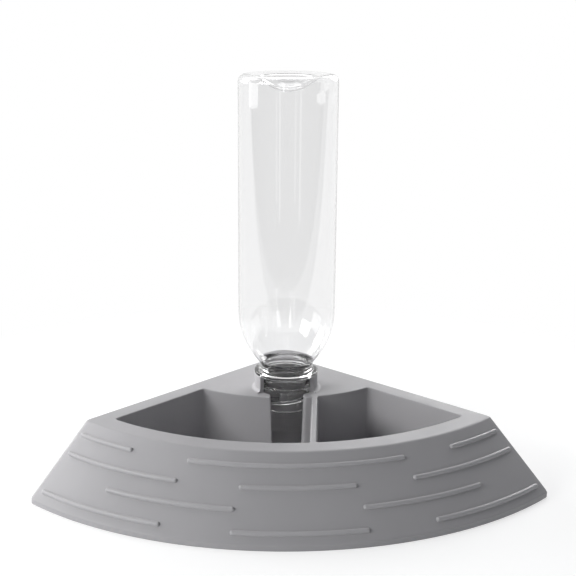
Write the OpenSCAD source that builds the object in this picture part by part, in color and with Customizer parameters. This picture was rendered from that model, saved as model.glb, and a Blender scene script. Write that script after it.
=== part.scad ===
// Corner feeding and watering dish for reptiles, with a clear bottle
// standing upside down in its socket. The dish is one moulding, open
// underneath. The bottle is a second piece: its support ring rests on
// the collar of the socket, and its mouth hangs above the floor of the
// well, so that the water stands level with the mouth.

/* [Dish] */
// Height of the flat top above the ground
deck_h = 32; // [28:1:40]
// Radius of the outer edge of the flat top, from the back corner
deck_r = 140; // [132:1:150]
// Radius of the foot of the ramp, from the back corner
foot_r = 174; // [164:1:190]
// Height of the upright lip at the foot of the ramp
lip_h = 3; // [2:0.5:5]
// Thickness of the dish's walls
wall = 2.4; // [1.8:0.1:3]
// Thickness of the floor plates
floor_t = 2; // [1.6:0.1:3]
// Rounding of the upright back corner
back_round = 4; // [2:0.5:8]
// Rounding of the two front corners, down the ends of the ramp
front_round = 1.2; // [1:0.2:3]

/* [Bowls] */
// Radius of the front wall of the bowls at the top
bowl_front_r = 129.5; // [120:0.5:130]
// Radius of the back wall of the bowls at the top
bowl_back_r = 70.5; // [70:0.5:76]
// Width of the flat rim along each straight side
side_rim = 9; // [9:0.5:14]
// Slope of the bowl walls from upright, in degrees
draft = 2; // [0.5:0.5:2.5]
// Rounding between the curved walls and the floor
floor_round = 3; // [1:0.5:4]
// Thickness of the wall between the two bowls
divider_t = 2.6; // [2:0.1:4]
// Offset of that wall to the right of the middle at the back
divider_back_x = 14.1; // [13:0.1:20]
// Offset of that wall to the right of the middle at the front
divider_front_x = 9.3; // [4:0.1:20]

/* [Ribs on the ramp] */
// Width of a raised rib
rib_w = 2.3; // [1.6:0.1:3]
// Place of the top row, as a share of the way down the ramp
rib_first = 0.165; // [0.14:0.005:0.2]
// Step from one row to the next, as a share of the way down the ramp
rib_pitch = 0.24; // [0.22:0.0025:0.25]
// Depth of a rib's centre under the surface of the ramp
rib_sink = 0.15; // [0.1:0.05:0.4]

/* [Bottle socket] */
// Distance of the socket's axis from the back corner
socket_y = 54; // [52:0.5:54]
// Gap around the bottle's tamper bead
neck_gap = 0.3; // [0.2:0.05:0.5]
// Height of the collar above the flat top
collar_h = 8.5; // [7:0.5:10]
// Opening at the front of the collar, in degrees
collar_open = 112; // [90:2:130]
// Width of the slot that lets the water into the bowl
slot_w = 17; // [12:0.5:20]

/* [Bottle] */
// Radius of the bottle's body
bottle_r = 24.8; // [24:0.1:26]
// Length of the bottle from its mouth to its base
bottle_l = 172; // [150:1:200]
// Wall thickness of the bottle's body
bottle_wall = 0.5; // [0.4:0.05:1]
// Radius of the narrowest part of the neck
neck_r = 13.9; // [13.5:0.1:14.5]
// Radius of the long curve of the shoulder
shoulder_curve = 40; // [36:1:44]
// Depth of the middle of the base below its foot ring
dome_depth = 8; // [5:0.5:10]
// Radius of the dome in the base
dome_w = 14; // [12:0.5:16]
// Radius of the support ring
ring_r = 16.5; // [16.3:0.1:17]

/* [Hidden] */
$fn = 96;
// Run of a cutting form past the face that it cuts
over = 1;
// Step that is left between the end of a rounding and the flat beside it
clip = 0.06;
// Segments of the small, the middling and the long arcs of a section
small_steps = 5;
mid_steps = 8;
long_steps = 24;

// Distance from the middle of the outline back to the square corner
back_y = (foot_r + back_round * (sqrt(2) - 1)) / 2;
half_wedge = 45;
ramp_run = foot_r - deck_r;
ramp_fall = deck_h - lip_h;
ramp_angle = atan2(ramp_fall, ramp_run);
ramp_len = norm([ramp_run, ramp_fall]);
deck_edge_round = 2.5;
bowl_edge_round = 0.8;
draft_run = (deck_h - floor_t) * tan(draft);

// Each rib as its row, its first angle and its last angle
ribs = [
    [0, -43, -31], [0, -19, 20], [0, 31, 43],
    [1, -43, -20.5], [1, -9, 10], [1, 21, 43],
    [2, -31.5, -10], [2, 11, 32],
    [3, -43, -21], [3, -9.5, 10.5], [3, 22, 43]
];

// A round end is this much narrower than its rib
rib_end_less = 0.2;

// Screw finish of the bottle, measured down from the ring
bead_r = 14;
bead_h = 2;
bead_drop = 6.2;
finish_r = 12.5;
finish_len = 18.4;
finish_bore_r = 10.9;
ring_t = 1.6;
// Step out from the finish to the short neck under the ring
neck_step = 0.4;
// Small breaks of the edges of the collar, the bead and the ring
edge_break = 0.4;
bore_r = bead_r + neck_gap;
collar_foot = 2;
ring_z = deck_h + collar_h;
mouth_z = ring_z - finish_len;
base_z = mouth_z + bottle_l;
heel_r = 4.5;
// Fall of the base from its foot ring to the rim of the dome
base_dip = 1.2;
// Distance from the ring up to where the shoulder meets the straight body
shoulder_up = 33.5;
// Distance above the ring at which the thick wall of the finish ends
finish_up = 5.5;
// Step from the neck's radius out to where the thin wall starts
thin_step = 0.5;

// Points of an arc, from one angle to another
function arc(x, y, r, a0, a1, n) =
    [for (i = [0:n]) [x + r * cos(a0 + (a1 - a0) * i / n), y + r * sin(a0 + (a1 - a0) * i / n)]];

// A body of revolution over the quarter circle in front of the corner
module quarter() {
    rotate([0, 0, -90 - half_wedge]) rotate_extrude(angle = 2 * half_wedge) children();
}

// Outer form of the dish, with a rounded edge between flat top and ramp
module outer_form() {
    t = deck_edge_round * tan(ramp_angle / 2);
    quarter() polygon(concat(
        [[0, 0], [foot_r, 0], [foot_r, lip_h]],
        arc(deck_r - t, deck_h - deck_edge_round, deck_edge_round, 90 - ramp_angle, 90, small_steps),
        [[0, deck_h]]
    ));
}

// A bar that leaves a rounded edge where it cuts a square corner away.
// The corner lies along Z, with the material towards -X and -Y. The
// rounding is made of narrow flats at equal angles.
module edge_cutter(r, len) {
    flats = 5;
    step = 90 / (flats + 1);
    k = r / cos(step / 2);
    linear_extrude(len) polygon(concat(
        [[over, over], [over, (r - (r + over) * cos(step)) / sin(step) - r]],
        [for (i = [1:flats - 1]) [k * cos((i + 0.5) * step) - r, k * sin((i + 0.5) * step) - r]],
        [[(r - (r + over) * cos(step)) / sin(step) - r, over]]
    ));
}

// Cuts for one front corner, down the ramp's end and down the lip
module front_corner_cuts() {
    rotate([0, 0, -half_wedge]) {
        translate([0, -foot_r, lip_h]) rotate([ramp_angle - 90, 0, 0])
            translate([0, 0, -2 * over]) rotate([0, 0, -90]) edge_cutter(front_round, ramp_len + 4 * over);
        translate([0, -foot_r, -over]) rotate([0, 0, -90]) edge_cutter(front_round, lip_h + over);
    }
}

// Wedge between the two straight sides, moved in by an inset
module wedge(inset, h) {
    reach = 2 * foot_r;
    tip = inset / sin(half_wedge);
    translate([0, -tip, -over]) linear_extrude(h + over)
        polygon([[0, 0], [-reach * sin(half_wedge), -reach * cos(half_wedge)],
            [reach * sin(half_wedge), -reach * cos(half_wedge)]]);
}

// Everything inside one straight side, leaning in by the draft
module inside_of_side(side, inset) {
    reach = 2 * foot_r;
    mirror([side < 0 ? 1 : 0, 0, 0]) rotate([0, 0, half_wedge]) translate([-inset, -reach, deck_h])
        rotate([0, draft, 0]) translate([-reach, 0, -2 * deck_h]) cube([reach, reach, 4 * deck_h]);
}

// The bowls' hollow as one form, or the block around it when grown
module bowl_form(grow) {
    f = bowl_front_r + grow;
    b = bowl_back_r - grow;
    z0 = grow > 0 ? -2 * over : floor_t;
    fr = floor_round;
    er = bowl_edge_round;
    fd = (deck_h - z0) * tan(draft);
    hollow = concat(
        arc(b + fd + fr, z0 + fr, fr, 180 + draft, 270, small_steps),
        arc(f - fd - fr, z0 + fr, fr, 270, 360 - draft, small_steps),
        arc(f + er, deck_h - er + clip, er, 180 - draft, 90, small_steps - 1),
        [[f + er, deck_h + over], [b - er, deck_h + over]],
        arc(b - er, deck_h - er + clip, er, 90, draft, small_steps - 1)
    );
    block = [[b + fd, z0], [f - fd, z0], [f, deck_h + over], [b, deck_h + over]];
    intersection() {
        quarter() polygon(grow > 0 ? block : hollow);
        inside_of_side(1, side_rim - grow);
        inside_of_side(-1, side_rim - grow);
    }
}

// Upright wall between the two bowls
module divider() {
    dx = divider_front_x - divider_back_x;
    dy = bowl_front_r - bowl_back_r;
    lean = atan2(dx, dy);
    len = norm([dx, dy]);
    translate([divider_back_x, -bowl_back_r, 0]) rotate([0, 0, lean])
        translate([-divider_t / 2, -len - wall, 0])
            cube([divider_t, len + 2 * wall, deck_h + 2 * over]);
}

// Well for the bottle's neck and the slot into the bowl
module well_form(grow) {
    z0 = grow > 0 ? -2 * over : floor_t;
    reach = bowl_back_r + (grow > 0 ? 0 : draft_run + floor_round + over);
    translate([0, -socket_y, z0]) cylinder(r = bore_r + grow, h = ring_z + over - z0);
    translate([-slot_w / 2 - grow, -reach, z0])
        cube([slot_w + 2 * grow, reach - socket_y, deck_h + over - z0]);
}

// Space underneath, between the outer walls and the bowls
module under_space() {
    shift = wall / sin(ramp_angle);
    slope = ramp_run / ramp_fall;
    difference() {
        intersection() {
            quarter() polygon([
                [0, -over], [foot_r - wall, -over],
                [foot_r - wall, deck_h - (foot_r - wall - deck_r + shift) / slope],
                [deck_r - shift + wall * slope, deck_h - wall], [0, deck_h - wall]
            ]);
            wedge(wall, deck_h);
        }
        bowl_form(wall);
        well_form(wall);
    }
}

// Raised half-round rib on the ramp, with round ends
module rib(row, a0, a1) {
    down = rib_first + row * rib_pitch;
    r = deck_r + down * ramp_run;
    z = deck_h - down * ramp_fall - rib_sink / cos(ramp_angle);
    rotate([0, 0, a0 - 90]) rotate_extrude(angle = a1 - a0) translate([r, z]) circle(d = rib_w, $fn = 20);
    for (a = [a0, a1])
        rotate([0, 0, a - 90]) translate([r, 0, z]) sphere(d = rib_w - rib_end_less, $fn = 20);
}

// Collar around the socket, open at the front, with a flared foot
module collar() {
    sweep = 360 - collar_open;
    translate([0, -socket_y, 0]) rotate([0, 0, collar_open / 2 - 90]) rotate_extrude(angle = sweep)
        polygon(concat(
            [[bore_r - over, deck_h - over], [ring_r + collar_foot, deck_h - over]],
            arc(ring_r + collar_foot, deck_h + collar_foot - clip, collar_foot, 270, 180, small_steps),
            [[ring_r, ring_z - edge_break], [ring_r - edge_break, ring_z], [bore_r - over, ring_z]]
        ));
}

module dish() {
    color([0.62, 0.61, 0.62]) translate([0, back_y, 0]) {
        difference() {
            union() {
                outer_form();
                collar();
            }
            difference() {
                bowl_form(0);
                divider();
            }
            under_space();
            well_form(0);
            rotate([0, 0, half_wedge]) translate([0, 0, -over]) edge_cutter(back_round, deck_h + 2 * over);
            front_corner_cuts();
            mirror([1, 0, 0]) front_corner_cuts();
        }
        for (k = ribs) rib(k[0], k[1], k[2]);
    }
}

// Half outline of the bottle from a radius on the shoulder up to the middle
// of the dome. The inset gives the inner surface of the same wall.
function shell(t, start_r) = let(
    sc = shoulder_curve - t,
    cx = bottle_r - shoulder_curve,
    hr = heel_r - t,
    hx = bottle_r - heel_r,
    hz = base_z - heel_r,
    rise = dome_depth - base_dip,
    dome_curve = (dome_w * dome_w + rise * rise) / (2 * rise)
) concat(
    arc(cx, ring_z + shoulder_up, sc, -acos((start_r - cx) / sc), 0, long_steps),
    arc(hx, hz, hr, 0, 90, mid_steps),
    arc(0, base_z - dome_depth + dome_curve, dome_curve + t, asin(dome_w / dome_curve) - 90, -90, mid_steps)
);

// A turned band, as the points of its section from below upwards, from one
// inner radius to the next, with its two outer edges broken
function band(r_in, r_next, r_out, z, h) = [
    [r_in, z], [r_out - edge_break, z], [r_out, z + edge_break],
    [r_out, z + h - edge_break], [r_out - edge_break, z + h], [r_next, z + h]
];

module bottle() {
    outer = shell(0, neck_r);
    inner = shell(bottle_wall, neck_r + thin_step);
    n = len(inner);
    under_ring = finish_r + neck_step;
    color([0.85, 0.9, 0.92, 0.35]) translate([0, back_y - socket_y, 0]) rotate_extrude()
        polygon(concat(
            [[finish_bore_r, mouth_z], [finish_r, mouth_z]],
            band(finish_r, under_ring, bead_r, ring_z - bead_drop - bead_h, bead_h),
            band(under_ring, neck_r, ring_r, ring_z, ring_t),
            outer,
            [for (i = [n - 1:-1:0]) inner[i]],
            [[finish_bore_r, ring_z + finish_up]]
        ));
}

dish();
bottle();
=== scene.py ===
import math

import bmesh
import bpy
from mathutils import Matrix, Vector
from mathutils.geometry import tessellate_polygon


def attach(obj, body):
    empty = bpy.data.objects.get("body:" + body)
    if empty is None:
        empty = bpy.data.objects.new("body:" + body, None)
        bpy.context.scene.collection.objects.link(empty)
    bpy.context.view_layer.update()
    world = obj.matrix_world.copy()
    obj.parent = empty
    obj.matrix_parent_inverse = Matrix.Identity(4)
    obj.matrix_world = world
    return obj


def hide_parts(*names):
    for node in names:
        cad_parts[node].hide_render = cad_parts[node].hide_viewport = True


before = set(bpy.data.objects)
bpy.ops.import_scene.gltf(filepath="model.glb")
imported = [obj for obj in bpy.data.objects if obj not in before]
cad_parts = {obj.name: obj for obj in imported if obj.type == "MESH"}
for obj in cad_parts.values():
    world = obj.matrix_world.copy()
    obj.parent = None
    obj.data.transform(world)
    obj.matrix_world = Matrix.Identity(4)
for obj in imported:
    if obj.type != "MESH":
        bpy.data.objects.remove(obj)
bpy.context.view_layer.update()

# One millimetre in metres, and the distance in metres under which two points become one
MM = 0.001
MERGE = 1e-7

# Sizes of the dish, in millimetres and degrees, as in the part's source
DECK_H = 32.0
DECK_R = 140.0
FOOT_R = 174.0
LIP_H = 3.0
WALL = 2.4
FLOOR_T = 2.0
BACK_ROUND = 4.0
BOWL_FRONT_R = 129.5
BOWL_BACK_R = 70.5
SIDE_RIM = 9.0
DRAFT = math.radians(2.0)
FLOOR_ROUND = 3.0
DIVIDER_T = 2.6
DIVIDER_BACK_X = 14.1
DIVIDER_FRONT_X = 9.3
SOCKET_Y = 54.0
BORE_R = 14.3
SLOT_W = 17.0
RING_R = 16.5
COLLAR_H = 8.5
COLLAR_OPEN = 112.0
DECK_EDGE = 2.5
RIB_FIRST = 0.165
RIB_PITCH = 0.24
RIB_W = 2.3
# Each rib as its row, its first angle and its last angle
RIBS = [
    (0, -43.0, -31.0), (0, -19.0, 20.0), (0, 31.0, 43.0),
    (1, -43.0, -20.5), (1, -9.0, 10.0), (1, 21.0, 43.0),
    (2, -31.5, -10.0), (2, 11.0, 32.0),
    (3, -43.0, -21.0), (3, -9.5, 10.5), (3, 22.0, 43.0),
]

# Sizes that follow from these. BACK_Y is how far the square corner lies behind the outline's middle
RING_Z = DECK_H + COLLAR_H
BACK_Y = (FOOT_R + BACK_ROUND * (math.sqrt(2.0) - 1.0)) / 2.0
RAMP_SLOPE = (DECK_H - LIP_H) / (FOOT_R - DECK_R)
RAMP_ANGLE = math.atan(RAMP_SLOPE)
S45 = math.sqrt(0.5)
CORNER = (0.0, 0.0)
SOCKET = (0.0, -SOCKET_Y)

# Roundings of the dish's edges and corners. In the part's source FRONT_ROUND is 1.2 and BOWL_EDGE 0.8
FRONT_ROUND = 1.72
FOOT_EDGE = 0.5
LIP_SOFT = 0.5
TOP_EDGE = 0.7
BOWL_EDGE = 0.6
INNER_ROUND = 1.5
BLOCK_ROUND = 2.0
SLOT_ROUND = 0.5
BLOCK_EDGE = 0.3
# A right-angled corner rounded by a parabola starts this many times further out than by an arc
REACH = 1.17
# Roundness of a bowl's upright corners at its rim, what it loses for each millimetre that the
# outline grows, and the least that it comes to
BOWL_CORNER = 1.3
CORNER_LOSS = 0.1
CORNER_LEAST = 0.6
# Roundness of each corner as a share of that, in the order of the outline's sides
LEFT_CORNERS = (1.0, 1.4, 1.0, 0.5, 1.6, 0.7, 0.7, 0.7)
RIGHT_CORNERS = (1.0, 1.0, 1.4, 1.0)

# Points along each kind of side, and round each corner
CORNER_POINTS = 6
SIDE_POINTS = 24
DIVIDER_POINTS = 20
SLOT_POINTS = 6
WELL_POINTS = 56
LEFT_FRONT_POINTS = 60
RIGHT_FRONT_POINTS = 50
BLOCK_FRONT_POINTS = 100
BLOCK_BACK_POINTS = 16
RAMP_POINTS = 110


def new_object(name, builder):
    """A smooth mesh object from what a builder collected, in millimetres from the back corner."""
    mesh = bpy.data.meshes.new(name)
    points = [(x * MM, (y + BACK_Y) * MM, z * MM) for x, y, z in builder.verts]
    mesh.from_pydata(points, [], builder.faces)
    mesh.validate()
    bm = bmesh.new()
    bm.from_mesh(mesh)
    bmesh.ops.remove_doubles(bm, verts=bm.verts, dist=MERGE)
    bmesh.ops.recalc_face_normals(bm, faces=bm.faces)
    bm.to_mesh(mesh)
    bm.free()
    for poly in mesh.polygons:
        poly.use_smooth = True
    obj = bpy.data.objects.new(name, mesh)
    bpy.context.scene.collection.objects.link(obj)
    return obj


def weighted_normals(obj):
    """Shades large flats flat, so that only the roundings turn."""
    mod = obj.modifiers.new("weighted_normals", "WEIGHTED_NORMAL")
    mod.mode = "FACE_AREA"
    mod.weight = 100
    mod.keep_sharp = True


# Outlines in plan

def line_line(p, u, q, v):
    """Point where the line p + t u meets the line q + s v."""
    den = u[0] * v[1] - u[1] * v[0]
    t = ((q[0] - p[0]) * v[1] - (q[1] - p[1]) * v[0]) / den
    return (p[0] + t * u[0], p[1] + t * u[1])


def line_circle(p, u, c, r, sign):
    """Point where the line p + t u meets a circle, at the later or earlier t."""
    mx, my = p[0] - c[0], p[1] - c[1]
    b = mx * u[0] + my * u[1]
    q = mx * mx + my * my - r * r
    t = -b + sign * math.sqrt(b * b - q)
    return (p[0] + t * u[0], p[1] + t * u[1])


def arc(cx, cy, r, a0, a1, n):
    """Points of an arc in n steps, angles in degrees."""
    out = []
    for i in range(n + 1):
        a = math.radians(a0 + (a1 - a0) * i / n)
        out.append((cx + r * math.cos(a), cy + r * math.sin(a)))
    return out


class Edge:
    """One side of an outline, with n points: a straight line, or an arc round a centre."""

    def __init__(self, a, b, n, centre=None, ccw=True):
        self.a = a
        self.b = b
        self.n = n
        self.centre = centre
        if centre is None:
            self.length = math.dist(a, b)
            return
        self.r = math.dist(a, centre)
        self.a0 = math.atan2(a[1] - centre[1], a[0] - centre[0])
        turn = math.atan2(b[1] - centre[1], b[0] - centre[0]) - self.a0
        if ccw and turn < 0:
            turn += 2 * math.pi
        if not ccw and turn > 0:
            turn -= 2 * math.pi
        self.turn = turn
        self.length = abs(turn) * self.r

    def at(self, s):
        """Point at a distance along the side."""
        f = s / self.length
        if self.centre is None:
            return (self.a[0] + f * (self.b[0] - self.a[0]), self.a[1] + f * (self.b[1] - self.a[1]))
        a = self.a0 + f * self.turn
        return (self.centre[0] + self.r * math.cos(a), self.centre[1] + self.r * math.sin(a))


def rounded(edges, starts):
    """Points round an outline. Corner i comes before side i, and its rounding starts that far from it."""
    pts = []
    for i, edge in enumerate(edges):
        before = edges[i - 1]
        t = starts[i]
        t_next = starts[(i + 1) % len(edges)]
        p0 = before.at(before.length - t)
        p1 = edge.a
        p2 = edge.at(t)
        for k in range(CORNER_POINTS):
            f = k / CORNER_POINTS
            w0, w1, w2 = (1 - f) ** 2, 2 * f * (1 - f), f * f
            pts.append((w0 * p0[0] + w1 * p1[0] + w2 * p2[0], w0 * p0[1] + w1 * p1[1] + w2 * p2[1]))
        for k in range(edge.n):
            pts.append(edge.at(t + (edge.length - t - t_next) * k / edge.n))
    return pts


def side_line(side, inset):
    """A point and the outward direction of one straight side, moved in."""
    return (-side * S45 * inset, -S45 * inset), (side * S45, -S45)


def sector_outline(radius, inset, back_round, front_round):
    """The dish's own outline: two straight sides and the arc in front."""
    left, left_way = side_line(-1, inset)
    right, right_way = side_line(1, inset)
    tip = line_line(left, left_way, right, right_way)
    front_left = line_circle(left, left_way, CORNER, radius, 1)
    front_right = line_circle(right, right_way, CORNER, radius, 1)
    edges = [
        Edge(tip, front_left, SIDE_POINTS),
        Edge(front_left, front_right, RAMP_POINTS, CORNER, True),
        Edge(front_right, tip, SIDE_POINTS),
    ]
    return rounded(edges, [back_round * REACH, front_round * REACH, front_round * REACH])


def outer_outline(radius, inset):
    """The outline of the outside of the dish."""
    return sector_outline(radius, inset, BACK_ROUND, FRONT_ROUND)


def divider_face(side, d):
    """A point and the direction, towards the front, of one face of the divider."""
    dx, dy = DIVIDER_FRONT_X - DIVIDER_BACK_X, -(BOWL_FRONT_R - BOWL_BACK_R)
    ln = math.hypot(dx, dy)
    v = (dx / ln, dy / ln)
    n = (side * -v[1], side * v[0])
    off = DIVIDER_T / 2 - d
    return (DIVIDER_BACK_X + n[0] * off, -BOWL_BACK_R + n[1] * off), v


def wall_corners(line, d):
    """Where a wall's line meets the back and the front wall of the bowls, grown by d."""
    p, v = line
    back = line_circle(p, v, CORNER, BOWL_BACK_R - d, 1)
    front = line_circle(p, v, CORNER, BOWL_FRONT_R + d, 1)
    return back, front


def well_edges(d):
    """Sides of the slot and the well, from the slot's right edge round to its left, grown by d."""
    half = SLOT_W / 2 + d
    front = -math.sqrt((BOWL_BACK_R - d) ** 2 - half * half)
    back = -SOCKET_Y - math.sqrt((BORE_R + d) ** 2 - half * half)
    return [
        Edge((half, front), (half, back), SLOT_POINTS),
        Edge((half, back), (-half, back), WELL_POINTS, SOCKET, True),
        Edge((-half, back), (-half, front), SLOT_POINTS),
    ]


def left_bowl(d, corner):
    """The left bowl with the slot and the well, as one outline grown by d."""
    side_back, side_front = wall_corners(side_line(-1, SIDE_RIM - d), d)
    divider_back, divider_front = wall_corners(divider_face(-1, d), d)
    well = well_edges(d)
    edges = [
        Edge(side_back, side_front, SIDE_POINTS),
        Edge(side_front, divider_front, LEFT_FRONT_POINTS, CORNER, True),
        Edge(divider_front, divider_back, DIVIDER_POINTS),
        Edge(divider_back, well[0].a, SLOT_POINTS, CORNER, False),
    ]
    edges += well
    edges.append(Edge(well[-1].b, side_back, SIDE_POINTS, CORNER, False))
    return rounded(edges, [share * corner for share in LEFT_CORNERS])


def right_bowl(d, corner):
    """The right bowl's outline, grown by d."""
    side_back, side_front = wall_corners(side_line(1, SIDE_RIM - d), d)
    divider_back, divider_front = wall_corners(divider_face(1, d), d)
    edges = [
        Edge(divider_back, divider_front, DIVIDER_POINTS),
        Edge(divider_front, side_front, RIGHT_FRONT_POINTS, CORNER, True),
        Edge(side_front, side_back, SIDE_POINTS),
        Edge(side_back, divider_back, SIDE_POINTS, CORNER, False),
    ]
    return rounded(edges, [share * corner for share in RIGHT_CORNERS])


def block_outline(d):
    """Outside of the walls round both bowls and the well, seen from below, grown by d."""
    left_back, left_front = wall_corners(side_line(-1, SIDE_RIM - d), d)
    right_back, right_front = wall_corners(side_line(1, SIDE_RIM - d), d)
    well = well_edges(d)
    edges = [
        Edge(left_back, left_front, SIDE_POINTS),
        Edge(left_front, right_front, BLOCK_FRONT_POINTS, CORNER, True),
        Edge(right_front, right_back, SIDE_POINTS),
        Edge(right_back, well[0].a, BLOCK_BACK_POINTS, CORNER, False),
    ]
    edges += well
    edges.append(Edge(well[-1].b, left_back, BLOCK_BACK_POINTS, CORNER, False))
    return rounded(edges, [BLOCK_ROUND] * 4 + [SLOT_ROUND] * 4)


class Builder:
    """Collects points, and skins between loops of them."""

    def __init__(self):
        self.verts = []
        self.faces = []

    def point(self, x, y, z):
        """Adds a point and gives its number."""
        self.verts.append((x, y, z))
        return len(self.verts) - 1

    def skin(self, a, b):
        """Faces between two loops with as many points."""
        for i in range(len(a)):
            j = (i + 1) % len(a)
            self.faces.append((a[i], a[j], b[j], b[i]))

    def stack(self, levels):
        """Loops of (points, z), skinned in turn. Gives the first and last loop."""
        loops = [[self.point(x, y, z) for x, y in pts] for pts, z in levels]
        for a, b in zip(loops, loops[1:]):
            self.skin(a, b)
        return loops[0], loops[-1]

    def bar(self, loops):
        """Loops skinned in turn, with both ends closed."""
        for a, b in zip(loops, loops[1:]):
            self.skin(a, b)
        self.faces.append(tuple(loops[0]))
        self.faces.append(tuple(reversed(loops[-1])))

    def cap(self, *loops):
        """Fills a flat region, whose first loop is the outside."""
        flat = [i for loop in loops for i in loop]
        outlines = [[Vector((self.verts[i][0], self.verts[i][1], 0)) for i in loop] for loop in loops]
        for triangle in tessellate_polygon(outlines):
            self.faces.append(tuple(flat[i] for i in triangle))


# Dish

# The ramp has even levels up to this far under the flat top, in this many steps
RAMP_TOP = 6.0
RAMP_STEPS = 4
# The lip turns into the ramp over this many steps. The two shares set how the curve bends in and up
LIP_STEPS = 3
LIP_IN = 0.8
LIP_UP = 0.2
# Steps of the roundings at the foot, at the flat top's edge, and in the bowls
FOOT_STEPS = 3
EDGE_STEPS = 8
BOWL_STEPS = 5
# Levels of a bowl's wall, as shares of the way down
WALL_LEVELS = (0.35, 0.7, 1.0)


def outside_levels():
    """The outside of the dish as outlines, from the ground up to the flat top."""
    levels = []
    for in_by, z in arc(FOOT_EDGE, FOOT_EDGE, FOOT_EDGE, 270, 180, FOOT_STEPS):
        levels.append((outer_outline(FOOT_R - in_by, in_by), z))
    levels.append((outer_outline(FOOT_R, 0), LIP_H - LIP_SOFT))
    for k in range(1, LIP_STEPS):
        f = k / LIP_STEPS
        r = FOOT_R - LIP_SOFT * f * f / RAMP_SLOPE * LIP_IN
        z = LIP_H - LIP_SOFT * (1 - f) * (1 - f * LIP_UP)
        levels.append((outer_outline(r, 0), z))
    ramp_low = LIP_H + LIP_SOFT
    for k in range(RAMP_STEPS + 1):
        z = ramp_low + (DECK_H - RAMP_TOP - ramp_low) * k / RAMP_STEPS
        levels.append((outer_outline(DECK_R + (DECK_H - z) / RAMP_SLOPE, 0), z))
    top_r = DECK_R - DECK_EDGE * math.tan(RAMP_ANGLE / 2)
    start = 90 - math.degrees(RAMP_ANGLE)
    for r, z in arc(top_r, DECK_H - DECK_EDGE, DECK_EDGE, start, 90, EDGE_STEPS):
        up = max(0.0, z - (DECK_H - TOP_EDGE)) / TOP_EDGE
        inset = TOP_EDGE * (1 - math.sqrt(max(0.0, 1 - up * up)))
        levels.append((outer_outline(r, inset), z))
    return levels


def bowl_levels(outline):
    """A bowl as outlines, from the flat top down to its floor."""
    grown = arc(BOWL_EDGE, DECK_H - BOWL_EDGE, BOWL_EDGE, 90, 180, BOWL_STEPS)
    z_top = DECK_H - BOWL_EDGE
    z_low = FLOOR_T + FLOOR_ROUND
    for f in WALL_LEVELS:
        z = z_top + (z_low - z_top) * f
        grown.append((-math.tan(DRAFT) * (z_top - z), z))
    d_low = -math.tan(DRAFT) * (z_top - z_low)
    grown += arc(d_low - FLOOR_ROUND, z_low, FLOOR_ROUND, 0, -90, BOWL_STEPS)[1:]
    return [(outline(d, max(CORNER_LEAST, BOWL_CORNER - CORNER_LOSS * d)), z) for d, z in grown]


def cavity_levels():
    """The inside of the outer walls as outlines, from the ground up."""
    shift = WALL / math.sin(RAMP_ANGLE)
    low_r = FOOT_R - WALL
    places = [
        (low_r, 0.0),
        (low_r, DECK_H - (low_r - DECK_R + shift) * RAMP_SLOPE),
        (DECK_R - shift + WALL / RAMP_SLOPE, DECK_H - WALL),
    ]
    return [(sector_outline(r, WALL, INNER_ROUND, INNER_ROUND), z) for r, z in places]


def block_levels():
    """The outside of the bowls' walls as outlines, from under the flat top down to the ground."""
    under_z = DECK_H - WALL
    levels = []
    for z in (under_z, under_z / 2, BLOCK_EDGE):
        levels.append((block_outline(WALL - math.tan(DRAFT) * (DECK_H - z)), z))
    levels.append((block_outline(WALL - math.tan(DRAFT) * DECK_H - BLOCK_EDGE), 0.0))
    return levels


def dish_mesh():
    """The moulding without its collar and ribs, as one closed skin."""
    b = Builder()
    foot_loop, deck_loop = b.stack(outside_levels())
    left_top, left_floor = b.stack(bowl_levels(left_bowl))
    right_top, right_floor = b.stack(bowl_levels(right_bowl))
    b.cap(deck_loop, left_top, right_top)
    b.cap(left_floor)
    b.cap(right_floor)
    rim_loop, under_loop = b.stack(cavity_levels())
    block_top, block_low = b.stack(block_levels())
    b.cap(foot_loop, rim_loop)
    b.cap(under_loop, block_top)
    b.cap(block_low)
    return b


# Radius of the flare at the collar's foot, and how far it lies under the flat top
COLLAR_FOOT = 2.0
FLARE_SUNK = 0.04
# How deep the collar goes into the dish there and at its bore, and how wide it is at the bottom
FLARE_ROOT = 0.4
COLLAR_ROOT = 3.0
COLLAR_ROOT_W = 0.6
# The collar's bore is this much narrower than the well's, so that no two faces share a place
BORE_STEP = 0.03
# Roundings of the collar's top edge, outside and inside
COLLAR_SOFT = 0.45
BORE_SOFT = 0.3
# Steps of the flare and of these two roundings
FLARE_STEPS = 6
COLLAR_SOFT_STEPS = 4
BORE_SOFT_STEPS = 3
# Rounded ends: how far along the collar, and how much its section shrinks there
COLLAR_ENDS = [(0.0, 0.5), (0.12, 0.25), (0.5, 0.0)]
# Steps along the collar between its ends
COLLAR_STEPS = 84


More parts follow.
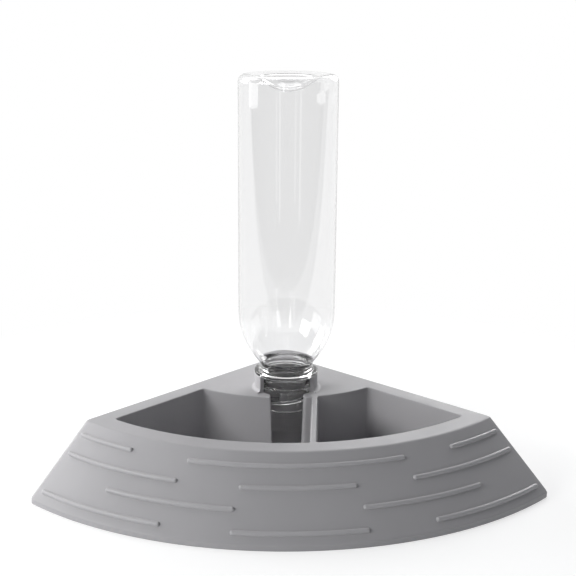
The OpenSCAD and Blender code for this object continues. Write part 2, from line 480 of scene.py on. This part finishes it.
def collar_mesh():
    """Collar round the well, open at the front, let into the flat top."""
    b = Builder()
    bore = BORE_R - BORE_STEP
    foot = RING_R + COLLAR_FOOT
    section = [
        (bore, DECK_H - COLLAR_ROOT),
        (BORE_R + COLLAR_ROOT_W, DECK_H - COLLAR_ROOT),
        (foot, DECK_H - FLARE_ROOT),
    ]
    section += arc(foot, DECK_H + COLLAR_FOOT - FLARE_SUNK, COLLAR_FOOT, 270, 180, FLARE_STEPS)
    section += arc(RING_R - COLLAR_SOFT, RING_Z - COLLAR_SOFT, COLLAR_SOFT, 0, 90, COLLAR_SOFT_STEPS)
    section += arc(bore + BORE_SOFT, RING_Z - BORE_SOFT, BORE_SOFT, 90, 180, BORE_SOFT_STEPS)
    mid_r = sum(r for r, z in section) / len(section)
    mid_z = DECK_H + COLLAR_H / 2
    half = math.radians(COLLAR_OPEN / 2)
    length = (2 * math.pi - 2 * half) * RING_R
    end = COLLAR_ENDS[-1][0]
    spots = list(COLLAR_ENDS)
    spots += [(end + (length - 2 * end) * k / COLLAR_STEPS, 0.0) for k in range(1, COLLAR_STEPS)]
    spots += [(length - s, shrink) for s, shrink in reversed(COLLAR_ENDS)]
    loops = []
    for s, shrink in spots:
        a = -math.pi / 2 + half + s / RING_R
        loop = []
        for r, z in section:
            dr, dz = r - mid_r, z - mid_z
            keep = max(0.0, 1 - shrink / math.hypot(dr, dz))
            r_now = mid_r + dr * keep
            y = -SOCKET_Y + r_now * math.sin(a)
            loop.append(b.point(r_now * math.cos(a), y, mid_z + dz * keep))
        loops.append(loop)
    b.bar(loops)
    return b


# Height of a rib over the ramp. In the solids it is 1.0
RIB_H = 1.2
# How far a rib's sides lean out, and how far under the ramp that ends
RIB_LEAN = 0.05
RIB_UNDER = 0.05
# How deep a rib goes into the ramp
RIB_ROOT = 0.6
# The round part of a rib's section: its lift, its first angle in degrees and its steps
RIB_LIFT = 0.02
RIB_FROM = 168
RIB_STEPS = 12
# Length of a step along a rib, the least number of them, and the steps of a round end
RIB_STEP = 2.5
RIB_LEAST = 6
END_STEPS = 7
# The share of its width and height that a rib starts with
END_SIZE = 0.06


def rib_section():
    """A rib's section as points across the ramp and out of it."""
    side = RIB_W / 2 + RIB_LEAN
    section = [(-side, -RIB_UNDER)]
    for k in range(RIB_STEPS + 1):
        a = math.radians(RIB_FROM - (2 * RIB_FROM - 180) * k / RIB_STEPS)
        section.append((RIB_W / 2 * math.cos(a), RIB_H * math.sin(a) + RIB_LIFT))
    section += [(side, -RIB_UNDER), (side, -RIB_ROOT), (-side, -RIB_ROOT)]
    return section


def add_rib(b, row, a0, a1):
    """One raised half-round rib with round ends, along an arc of the ramp."""
    out = (RIB_FIRST + row * RIB_PITCH) * (FOOT_R - DECK_R)
    r0 = DECK_R + out
    z0 = DECK_H - out * RAMP_SLOPE
    ca, sa = math.cos(RAMP_ANGLE), math.sin(RAMP_ANGLE)
    length = math.radians(a1 - a0) * r0
    steps = max(RIB_LEAST, int(length / RIB_STEP))
    ends = []
    for k in range(END_STEPS + 1):
        u = math.sin(math.radians(90 * k / END_STEPS))
        size = math.sqrt(max(0.0, 1 - (1 - u) ** 2))
        ends.append((RIB_W / 2 * (u - 1), max(END_SIZE, size)))
    spots = ends + [(length * k / steps, 1.0) for k in range(1, steps)]
    spots += [(length - s, size) for s, size in reversed(ends)]
    loops = []
    for s, size in spots:
        a = math.radians(a0) + s / r0
        loop = []
        for w, h in rib_section():
            w_now = w * size
            h_now = h * size if h > 0 else h
            r = r0 + w_now * ca + h_now * sa
            loop.append(b.point(r * math.sin(a), -r * math.cos(a), z0 - w_now * sa + h_now * ca))
        loops.append(loop)
    b.bar(loops)


def ribs_mesh():
    """All the ribs on the ramp."""
    b = Builder()
    for row, a0, a1 in RIBS:
        add_rib(b, row, a0, a1)
    return b


# Bottle

# Sizes in millimetres as in the part's source
BOTTLE_R = 24.8
BOTTLE_L = 172.0
BOTTLE_WALL = 0.5
NECK_R = 13.9
SHOULDER = 40.0
DOME = 8.0
DOME_W = 14.0
# Fall of the base from its foot ring to the rim of the dome
BASE_DIP = 1.2
# The screw finish, with its bead and support ring
FINISH_R = 12.5
FINISH_BORE = 10.9
FINISH_LEN = 18.4
BEAD_R = 14.0
BEAD_H = 2.0
RING_T = 1.6
# Distances above the ring at which the shoulder and the thick wall of the finish end
SHOULDER_UP = 33.5
FINISH_UP = 5.5
# Heights of the mouth and of the base
MOUTH_Z = RING_Z - FINISH_LEN
BASE_Z = MOUTH_Z + BOTTLE_L
# Sizes read off the photograph after the source was settled
HEEL = 3.8
BEAD_DROP = 5.9
# Roundings of the support ring, of the bead, of the mouth inside and outside, and of the dome's rim
RING_SOFT = 0.45
BEAD_SOFT = 0.5
MOUTH_IN = 0.4
MOUTH_OUT = 0.3
BASE_SOFT = 1.6
# How much wider than the neck the shoulder starts, outside and inside
SHOULDER_START = 0.4
SHOULDER_START_IN = 0.5
# Angles in degrees at which the bead's rounding starts below and stops above
BEAD_FROM = 290
BEAD_TO = 75
# Small steps of the section, each as points out and up from the corner that it softens
UNDER_BEAD = [(0.0, -0.5), (0.15, -0.1)]
OVER_BEAD = [(0.6, 0.05), (0.4, 0.4)]
UNDER_RING = [(0.4, -0.25), (0.7, 0.0)]
OVER_RING = [(0.5, 0.0), (0.12, 0.12), (0.0, 0.5)]
UNDER_SHOULDER = [(0.0, 0.0), (0.08, 0.6)]
BORE_TOP = [(2.6, 1.0), (0.9, 0.15), (0.3, -0.2), (0.0, -0.9)]
# The bore has one more ring of points this far under the support ring
BORE_MID = 6.0
# Steps along the section, and round the bottle
MOUTH_STEPS = 4
BEAD_STEPS = 5
RING_STEPS = 6
SHOULDER_STEPS = 48
BODY_STEPS = 12
HEEL_STEPS = 14
BASE_STEPS = 8
DOME_STEPS = 24
TURN_STEPS = 128


def near(r, z, steps):
    """Points of the section a little out and up from a corner."""
    return [(r + out, z + up) for out, up in steps]


def shell_profile(t, start_r):
    """From a radius on the shoulder up to the middle of the dome, moved in by t."""
    z_shoulder = RING_Z + SHOULDER_UP
    r_shoulder = BOTTLE_R - SHOULDER
    start = -math.degrees(math.acos((start_r - r_shoulder) / (SHOULDER - t)))
    pts = arc(r_shoulder, z_shoulder, SHOULDER - t, start, 0, SHOULDER_STEPS)
    r_heel = BOTTLE_R - HEEL
    z_heel = BASE_Z - HEEL
    for k in range(1, BODY_STEPS):
        pts.append((BOTTLE_R - t, z_shoulder + (z_heel - z_shoulder) * k / BODY_STEPS))
    # The base falls gently from its foot ring, then turns over a soft edge into the dome
    fall = math.degrees(math.atan(BASE_DIP / (r_heel - DOME_W)))
    pts += arc(r_heel, z_heel, HEEL - t, 0, 90 + fall, HEEL_STEPS)
    inward = (-math.cos(math.radians(fall)), -math.sin(math.radians(fall)))
    down = (-inward[1], inward[0])
    rise = DOME - BASE_DIP
    curve = (DOME_W * DOME_W + rise * rise) / (2 * rise)
    z_dome = BASE_Z - DOME + curve
    on_line = (r_heel + (BASE_SOFT - HEEL) * down[0], z_heel + (BASE_SOFT - HEEL) * down[1])
    soft = line_circle(on_line, inward, (0.0, z_dome), curve + BASE_SOFT, -1)
    end = math.degrees(math.atan2(z_dome - soft[1], -soft[0]))
    pts += arc(soft[0], soft[1], BASE_SOFT - t, 90 + fall, end, BASE_STEPS)
    dome = arc(0.0, z_dome, curve + t, end - 180, -90, DOME_STEPS)[1:]
    dome[-1] = (0.0, dome[-1][1])
    return pts + dome


def bottle_profile():
    """The whole section: up the outside from the mouth, over the dome, and down the inside."""
    bead_low = RING_Z - BEAD_DROP - BEAD_H
    bead_top = RING_Z - BEAD_DROP
    ring_top = RING_Z + RING_T
    neck_z = RING_Z + FINISH_UP
    pts = arc(FINISH_BORE + MOUTH_IN, MOUTH_Z + MOUTH_IN, MOUTH_IN, 180, 270, MOUTH_STEPS)
    pts += arc(FINISH_R - MOUTH_OUT, MOUTH_Z + MOUTH_OUT, MOUTH_OUT, 270, 360, MOUTH_STEPS)
    pts += near(FINISH_R, bead_low, UNDER_BEAD)
    pts += arc(BEAD_R - BEAD_SOFT, bead_low + BEAD_SOFT, BEAD_SOFT, BEAD_FROM, 360, BEAD_STEPS)
    pts += arc(BEAD_R - BEAD_SOFT, bead_top - BEAD_SOFT, BEAD_SOFT, 0, BEAD_TO, BEAD_STEPS)
    pts += near(FINISH_R, bead_top, OVER_BEAD)
    pts += near(FINISH_R, RING_Z, UNDER_RING)
    pts += arc(RING_R - RING_SOFT, RING_Z + RING_SOFT, RING_SOFT, 270, 360, RING_STEPS)
    pts += arc(RING_R - RING_SOFT, ring_top - RING_SOFT, RING_SOFT, 0, 90, RING_STEPS)
    pts += near(NECK_R, ring_top, OVER_RING)
    pts += near(NECK_R, neck_z, UNDER_SHOULDER)
    pts += shell_profile(0.0, NECK_R + SHOULDER_START)
    pts += reversed(shell_profile(BOTTLE_WALL, NECK_R + SHOULDER_START_IN))
    pts += near(FINISH_BORE, neck_z, BORE_TOP)
    pts.append((FINISH_BORE, RING_Z - BORE_MID))
    return pts


def bottle_mesh():
    """The section turned round the bottle's axis. Points on the axis stay single."""
    b = Builder()
    rings = []
    for r, z in bottle_profile():
        if r == 0.0:
            rings.append([b.point(0.0, -SOCKET_Y, z)])
            continue
        rings.append([b.point(x, y, z) for x, y in arc(0.0, -SOCKET_Y, r, 0, 360, TURN_STEPS)[:-1]])
    for p, q in zip(rings, rings[1:] + rings[:1]):
        if len(p) == len(q) == 1:
            continue
        if len(p) == len(q):
            b.skin(p, q)
            continue
        for i in range(TURN_STEPS):
            j = (i + 1) % TURN_STEPS
            b.faces.append((p[i], p[j], q[0]) if len(q) == 1 else (p[0], q[j], q[i]))
    return b


# The thread climbs this much in a turn, and passes the front at this height
THREAD_LEAD = 7.5
THREAD_FRONT_Z = 27.5
# Bearings of its ends from the front, and its steps between them
THREAD_FROM = math.radians(-165)
THREAD_TO = math.radians(150)
THREAD_STEPS = 110
# Its section, as points out from the neck and up
THREAD_SECTION = [
    (-0.25, 0.95), (0.6, 0.7), (0.9, 0.45), (0.98, 0.0), (0.9, -0.45), (0.6, -0.7), (-0.25, -0.95),
]
# The share of its height that it starts with, and how many heights it would gain in its length
THREAD_LEAST = 0.08
THREAD_GAIN = 14


def thread_mesh():
    """Screw thread as one helical ridge that passes the front once and fades out at its ends."""
    b = Builder()
    loops = []
    for i in range(THREAD_STEPS + 1):
        f = i / THREAD_STEPS
        turn = THREAD_FROM + (THREAD_TO - THREAD_FROM) * f
        z = THREAD_FRONT_Z + THREAD_LEAD * turn / (2 * math.pi)
        a = turn - math.pi / 2
        tall = min(1.0, THREAD_GAIN * f + THREAD_LEAST, THREAD_GAIN * (1 - f) + THREAD_LEAST)
        loop = []
        for out, up in THREAD_SECTION:
            r = FINISH_R + (out * tall if out > 0 else out)
            loop.append(b.point(r * math.cos(a), -SOCKET_Y + r * math.sin(a), z + up))
        loops.append(loop)
    b.bar(loops)
    return b


# Materials

WHITE = (1, 1, 1, 1)
# The two colours of the grey plastic, and of the same plastic painted paler on the ribs as a painted
# highlight
GREY_DARK = (0.398, 0.391, 0.402, 1)
GREY_LIGHT = (0.422, 0.415, 0.426, 1)
RIB_HIGHLIGHT_DARK = (0.434, 0.427, 0.438, 1)
RIB_HIGHLIGHT_LIGHT = (0.458, 0.451, 0.462, 1)
CLEAR = (0.944, 0.944, 0.946, 1)


def grey(level):
    """A neutral colour."""
    return (level, level, level, 1)


def material(name):
    """A new material with one shader linked to its output."""
    mat = bpy.data.materials.new(name)
    mat.use_nodes = True
    tree = mat.node_tree
    tree.nodes.clear()
    out = tree.nodes.new("ShaderNodeOutputMaterial")
    shader = tree.nodes.new("ShaderNodeBsdfPrincipled")
    tree.links.new(shader.outputs["BSDF"], out.inputs["Surface"])
    return mat, tree, shader


def noise(tree, where, scale, detail, rough=0.5):
    """Noise in the object's own space, in cells per metre."""
    node = tree.nodes.new("ShaderNodeTexNoise")
    node.inputs["Scale"].default_value = scale
    node.inputs["Detail"].default_value = detail
    node.inputs["Roughness"].default_value = rough
    tree.links.new(where, node.inputs["Vector"])
    return node.outputs["Fac"]


def ramp(tree, source, low, high):
    """A ramp between two stops, each a position and a colour."""
    node = tree.nodes.new("ShaderNodeValToRGB")
    for element, (position, colour) in zip(node.color_ramp.elements, (low, high)):
        element.position = position
        element.color = colour
    tree.links.new(source, node.inputs["Fac"])
    return node.outputs["Color"]


def bump(tree, height, strength, distance):
    """A bump by a height, over a distance in metres."""
    node = tree.nodes.new("ShaderNodeBump")
    node.inputs["Strength"].default_value = strength
    node.inputs["Distance"].default_value = distance
    tree.links.new(height, node.inputs["Height"])
    return node


def grey_plastic(name, dark, light, rough_from, rough_to):
    """Matte moulded plastic: a fine spark texture, faint cloudiness between two colours."""
    mat, tree, shader = material(name)
    where = tree.nodes.new("ShaderNodeTexCoord").outputs["Object"]
    cloud = noise(tree, where, scale=18.0, detail=3.0)
    tree.links.new(ramp(tree, cloud, (0.3, dark), (0.7, light)), shader.inputs["Base Color"])
    sheen = noise(tree, where, scale=140.0, detail=3.0)
    rough = ramp(tree, sheen, (0.35, grey(rough_from)), (0.65, grey(rough_to)))
    tree.links.new(rough, shader.inputs["Roughness"])
    grain = noise(tree, where, scale=2600.0, detail=2.0, rough=0.6)
    wave = noise(tree, where, scale=60.0, detail=2.0)
    fine = bump(tree, grain, strength=0.22, distance=0.00012)
    broad = bump(tree, wave, strength=0.10, distance=0.0006)
    tree.links.new(fine.outputs["Normal"], broad.inputs["Normal"])
    tree.links.new(broad.outputs["Normal"], shader.inputs["Normal"])
    shader.inputs["IOR"].default_value = 1.46
    shader.inputs["Specular IOR Level"].default_value = 0.45
    return mat


def clear_plastic():
    """Thin clear bottle plastic with the slight waviness of a blown wall."""
    mat, tree, shader = material("clear_blown_plastic")
    shader.inputs["Base Color"].default_value = CLEAR
    shader.inputs["Transmission Weight"].default_value = 1.0
    shader.inputs["IOR"].default_value = 1.5
    where = tree.nodes.new("ShaderNodeTexCoord").outputs["Object"]
    haze = noise(tree, where, scale=90.0, detail=2.0)
    rough = ramp(tree, haze, (0.3, grey(0.012)), (0.7, grey(0.035)))
    tree.links.new(rough, shader.inputs["Roughness"])
    # The waves are four times as long up the bottle as round it
    mapping = tree.nodes.new("ShaderNodeMapping")
    mapping.inputs["Scale"].default_value = (1.0, 1.0, 0.25)
    tree.links.new(where, mapping.inputs["Vector"])
    wave = noise(tree, mapping.outputs["Vector"], scale=45.0, detail=1.0)
    wavy = bump(tree, wave, strength=0.12, distance=0.0006)
    tree.links.new(wavy.outputs["Normal"], shader.inputs["Normal"])
    return mat


# Pieces of the dish and the bottle
body = new_object("dish_moulding", dish_mesh())
collar = new_object("dish_collar", collar_mesh())
ribs = new_object("dish_ribs", ribs_mesh())
for piece in (body, collar, ribs):
    weighted_normals(piece)
bottle = new_object("clear_bottle", bottle_mesh())
thread = new_object("bottle_thread", thread_mesh())

dish_mat = grey_plastic("grey_moulded_plastic", GREY_DARK, GREY_LIGHT, 0.5, 0.6)
# The ribs stand proud of the ramp and are a little smoother than the rest; their colour is painted a
# little paler, a painted highlight along them
rib_mat = grey_plastic("grey_rib_plastic_painted_highlight", RIB_HIGHLIGHT_DARK, RIB_HIGHLIGHT_LIGHT, 0.34, 0.42)
bottle_mat = clear_plastic()
for piece, look in ((body, dish_mat), (collar, dish_mat), (ribs, rib_mat)):
    piece.data.materials.append(look)
    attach(piece, "root")
for piece in (bottle, thread):
    piece.data.materials.append(bottle_mat)
    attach(piece, "root")
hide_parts("dish")
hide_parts("bottle")


# Camera, fitted to the photograph's angle, in metres
LENS = 70.672
SENSOR = 36.0
CLIP_START = 0.01
CAMERA_AT = Vector((-0.025667, -0.526731, 0.236029))
CAMERA_RIGHT = Vector((0.998969, -0.044704, 0.007944))
CAMERA_UP = Vector((0.003909, 0.258994, 0.965871))


def make_camera():
    """The camera, from its place and its right and up directions."""
    data = bpy.data.cameras.new("camera")
    data.lens = LENS
    data.sensor_width = SENSOR
    data.clip_start = CLIP_START
    camera = bpy.data.objects.new("camera", data)
    place = Matrix((CAMERA_RIGHT, CAMERA_UP, CAMERA_RIGHT.cross(CAMERA_UP))).transposed().to_4x4()
    place.translation = CAMERA_AT
    camera.matrix_world = place
    bpy.context.scene.collection.objects.link(camera)
    bpy.context.scene.camera = camera


make_camera()
bpy.context.scene.view_settings.view_transform = "Standard"


# Floor, world and lights, in metres and degrees

# Half the length of the floor's sides
FLOOR_HALF = 6.0
# The floor lies this far under the dish, so that no two faces share a place
FLOOR_UNDER = 0.0001
# The floor's tone to light that falls on the object
FLOOR_TONE = 0.97
# The floor's own tone to a ray from the camera, which leaves a light shadow
SHADOW_TONE = 0.42
# What the floor adds for a ray from the camera
FLOOR_LIFT = 0.66
# Distances from the middle between which the floor turns plain white
NEAR_FLOOR = 0.17
FAR_FLOOR = 0.30
# A surface that mirrors the room sees this tone in front of the white backdrop. The change lies
# between these sines of the bearing behind the middle
ROOM_TONE = 0.06
ROOM_FROM = 0.13
ROOM_TO = 0.23
# On the floor the backdrop's edge comes forward near the dish by this much, and goes back by
# this sine all over
SWEEP = 0.3
SWEEP_BACK = 0.15
# Bearings of two gaps of light on the floor of the room, their width, and where they start
GAPS = (-21.4, 26.2)
GAP_WIDTH = 4.0
GAP_START = 0.6
# Colour and strength of the world's own fill light
FILL_TINT = (0.7, 0.85, 1.1, 1)
FILL = 0.04
# Each soft light: name, bearing from the front towards the right, height angle, width, height, power
LIGHTS = [
    ("left_front", -54, 27, 0.26, 0.4, 3.3),
    ("left_side", -70, 27, 0.26, 0.4, 4.6),
    ("left", -90, 12, 0.6, 0.4, 1.8),
    ("left_back", -125, 18, 0.6, 0.4, 8.2),
    ("left_back_high", -130, 40, 0.6, 0.6, 2.0),
    ("back_high", 180, 60, 0.6, 0.6, 2.8),
    ("back_right", 150, 25, 0.6, 0.4, 7.0),
    ("right", 90, 15, 0.6, 0.4, 0.8),
    ("front", -13, 20, 0.08, 0.6, 0.5),
    ("window", 20, 20, 0.2, 0.5, 0.9),
]
# How far from the dish the lights stand, and the point that they are turned to
LIGHT_AWAY = 1.2
LIGHT_AIM = Vector((0.0, 0.0, 0.02))


def math_node(tree, operation, *values):
    """A Math node between values, each a socket or a number."""
    node = tree.nodes.new("ShaderNodeMath")
    node.operation = operation
    for i, value in enumerate(values):
        if isinstance(value, (int, float)):
            node.inputs[i].default_value = value
        else:
            tree.links.new(value, node.inputs[i])
    return node.outputs[0]


def smooth_range(tree, source, low, high, at_low, at_high):
    """A value that turns smoothly from one level to another between two bounds."""
    node = tree.nodes.new("ShaderNodeMapRange")
    node.interpolation_type = "SMOOTHSTEP"
    node.inputs["From Min"].default_value = low
    node.inputs["From Max"].default_value = high
    node.inputs["To Min"].default_value = at_low
    node.inputs["To Max"].default_value = at_high
    tree.links.new(source, node.inputs["Value"])
    return node.outputs["Result"]


def mix_shaders(tree, factor, first, second):
    """The first shader at 0 and the second at 1."""
    node = tree.nodes.new("ShaderNodeMixShader")
    tree.links.new(factor, node.inputs["Fac"])
    tree.links.new(first, node.inputs[1])
    tree.links.new(second, node.inputs[2])
    return node.outputs[0]


def seen_directly(tree):
    """1 for a ray that comes from the camera, by way of glass or gloss or not."""
    path = tree.nodes.new("ShaderNodeLightPath").outputs
    clear = math_node(tree, "MAXIMUM", path["Is Camera Ray"], path["Is Transmission Ray"])
    return math_node(tree, "MAXIMUM", clear, path["Is Glossy Ray"])


def room_level(tree, behind):
    """1, but darker where a surface mirrors the room in front of the white backdrop."""
    darker = smooth_range(tree, behind, ROOM_FROM, ROOM_TO, 1.0 - ROOM_TONE, 0.0)
    path = tree.nodes.new("ShaderNodeLightPath").outputs
    mirrored = math_node(tree, "GREATER_THAN", path["Glossy Depth"], 0.5)
    return math_node(tree, "SUBTRACT", 1.0, math_node(tree, "MULTIPLY", mirrored, darker))


def far_level(tree, where, distance):
    """Tone of the far floor: the backdrop, the dark room before it, and the gaps of light."""
    split = tree.nodes.new("ShaderNodeSeparateXYZ")
    tree.links.new(where, split.inputs[0])
    x, y = split.outputs["X"], split.outputs["Y"]
    moved = math_node(tree, "DIVIDE", math_node(tree, "ADD", y, SWEEP), distance)
    behind = math_node(tree, "SUBTRACT", moved, SWEEP_BACK)
    bearing = math_node(tree, "ARCTAN2", x, math_node(tree, "MULTIPLY", y, -1.0))
    gaps = 0.0
    for gap in GAPS:
        inside = math_node(tree, "COMPARE", bearing, math.radians(gap), math.radians(GAP_WIDTH / 2))
        gaps = math_node(tree, "ADD", inside, gaps)
    gaps = math_node(tree, "MULTIPLY", gaps, math_node(tree, "GREATER_THAN", distance, GAP_START))
    return math_node(tree, "MAXIMUM", room_level(tree, behind), gaps)


def floor_material():
    """Pale floor with a light shadow. Far from the dish it is plain white, so that no horizon shows."""
    mat, tree, shader = material("pale_floor")
    shader.inputs["Roughness"].default_value = 1.0
    shader.inputs["Specular IOR Level"].default_value = 0.0
    shader.inputs["Emission Color"].default_value = WHITE
    seen = seen_directly(tree)
    tone = tree.nodes.new("ShaderNodeMix")
    tone.data_type = "RGBA"
    tone.inputs["A"].default_value = grey(FLOOR_TONE)
    tone.inputs["B"].default_value = grey(SHADOW_TONE)
    tree.links.new(seen, tone.inputs["Factor"])
    tree.links.new(tone.outputs["Result"], shader.inputs["Base Color"])
    tree.links.new(math_node(tree, "MULTIPLY", seen, FLOOR_LIFT), shader.inputs["Emission Strength"])
    where = tree.nodes.new("ShaderNodeTexCoord").outputs["Object"]
    length = tree.nodes.new("ShaderNodeVectorMath")
    length.operation = "LENGTH"
    tree.links.new(where, length.inputs[0])
    distance = length.outputs["Value"]
    fade = smooth_range(tree, distance, NEAR_FLOOR, FAR_FLOOR, 0.0, 1.0)
    plain = tree.nodes.new("ShaderNodeEmission")
    plain.inputs["Color"].default_value = WHITE
    tree.links.new(far_level(tree, where, distance), plain.inputs["Strength"])
    far = math_node(tree, "MULTIPLY", seen, fade)
    join = mix_shaders(tree, far, shader.outputs["BSDF"], plain.outputs[0])
    out = next(node for node in tree.nodes if node.type == "OUTPUT_MATERIAL")
    tree.links.new(join, out.inputs["Surface"])
    return mat


def make_floor():
    """One large square under the dish."""
    mesh = bpy.data.meshes.new("floor")
    half = FLOOR_HALF
    corners = [(-half, -half, 0), (half, -half, 0), (half, half, 0), (-half, half, 0)]
    mesh.from_pydata(corners, [], [(0, 1, 2, 3)])
    floor = bpy.data.objects.new("floor", mesh)
    floor.location.z = -FLOOR_UNDER
    bpy.context.scene.collection.objects.link(floor)
    floor.data.materials.append(floor_material())


def make_world():
    """A weak fill that lights the object, and a white backdrop that the camera sees."""
    world = bpy.data.worlds.new("studio")
    world.use_nodes = True
    bpy.context.scene.world = world
    tree = world.node_tree
    tree.nodes.clear()
    fill = tree.nodes.new("ShaderNodeBackground")
    fill.inputs["Color"].default_value = FILL_TINT
    fill.inputs["Strength"].default_value = FILL
    white = tree.nodes.new("ShaderNodeBackground")
    white.inputs["Color"].default_value = WHITE
    split = tree.nodes.new("ShaderNodeSeparateXYZ")
    tree.links.new(tree.nodes.new("ShaderNodeTexCoord").outputs["Generated"], split.inputs[0])
    tree.links.new(room_level(tree, split.outputs["Y"]), white.inputs["Strength"])
    mix = mix_shaders(tree, seen_directly(tree), fill.outputs[0], white.outputs[0])
    out = tree.nodes.new("ShaderNodeOutputWorld")
    tree.links.new(mix, out.inputs["Surface"])


def make_light(name, bearing, up_angle, width, height, power):
    """One soft light, at its bearing and height angle, turned to the dish."""
    turn = math.radians(bearing)
    lift = math.radians(up_angle)
    flat = math.cos(lift)
    at = LIGHT_AWAY * Vector((flat * math.sin(turn), -flat * math.cos(turn), math.sin(lift)))
    data = bpy.data.lights.new(name, "AREA")
    data.shape = "RECTANGLE"
    data.size = width
    data.size_y = height
    data.energy = power
    lamp = bpy.data.objects.new(name, data)
    lamp.location = at
    lamp.rotation_euler = (LIGHT_AIM - at).to_track_quat("-Z", "Y").to_euler()
    bpy.context.scene.collection.objects.link(lamp)


make_floor()
make_world()
for light in LIGHTS:
    make_light(*light)
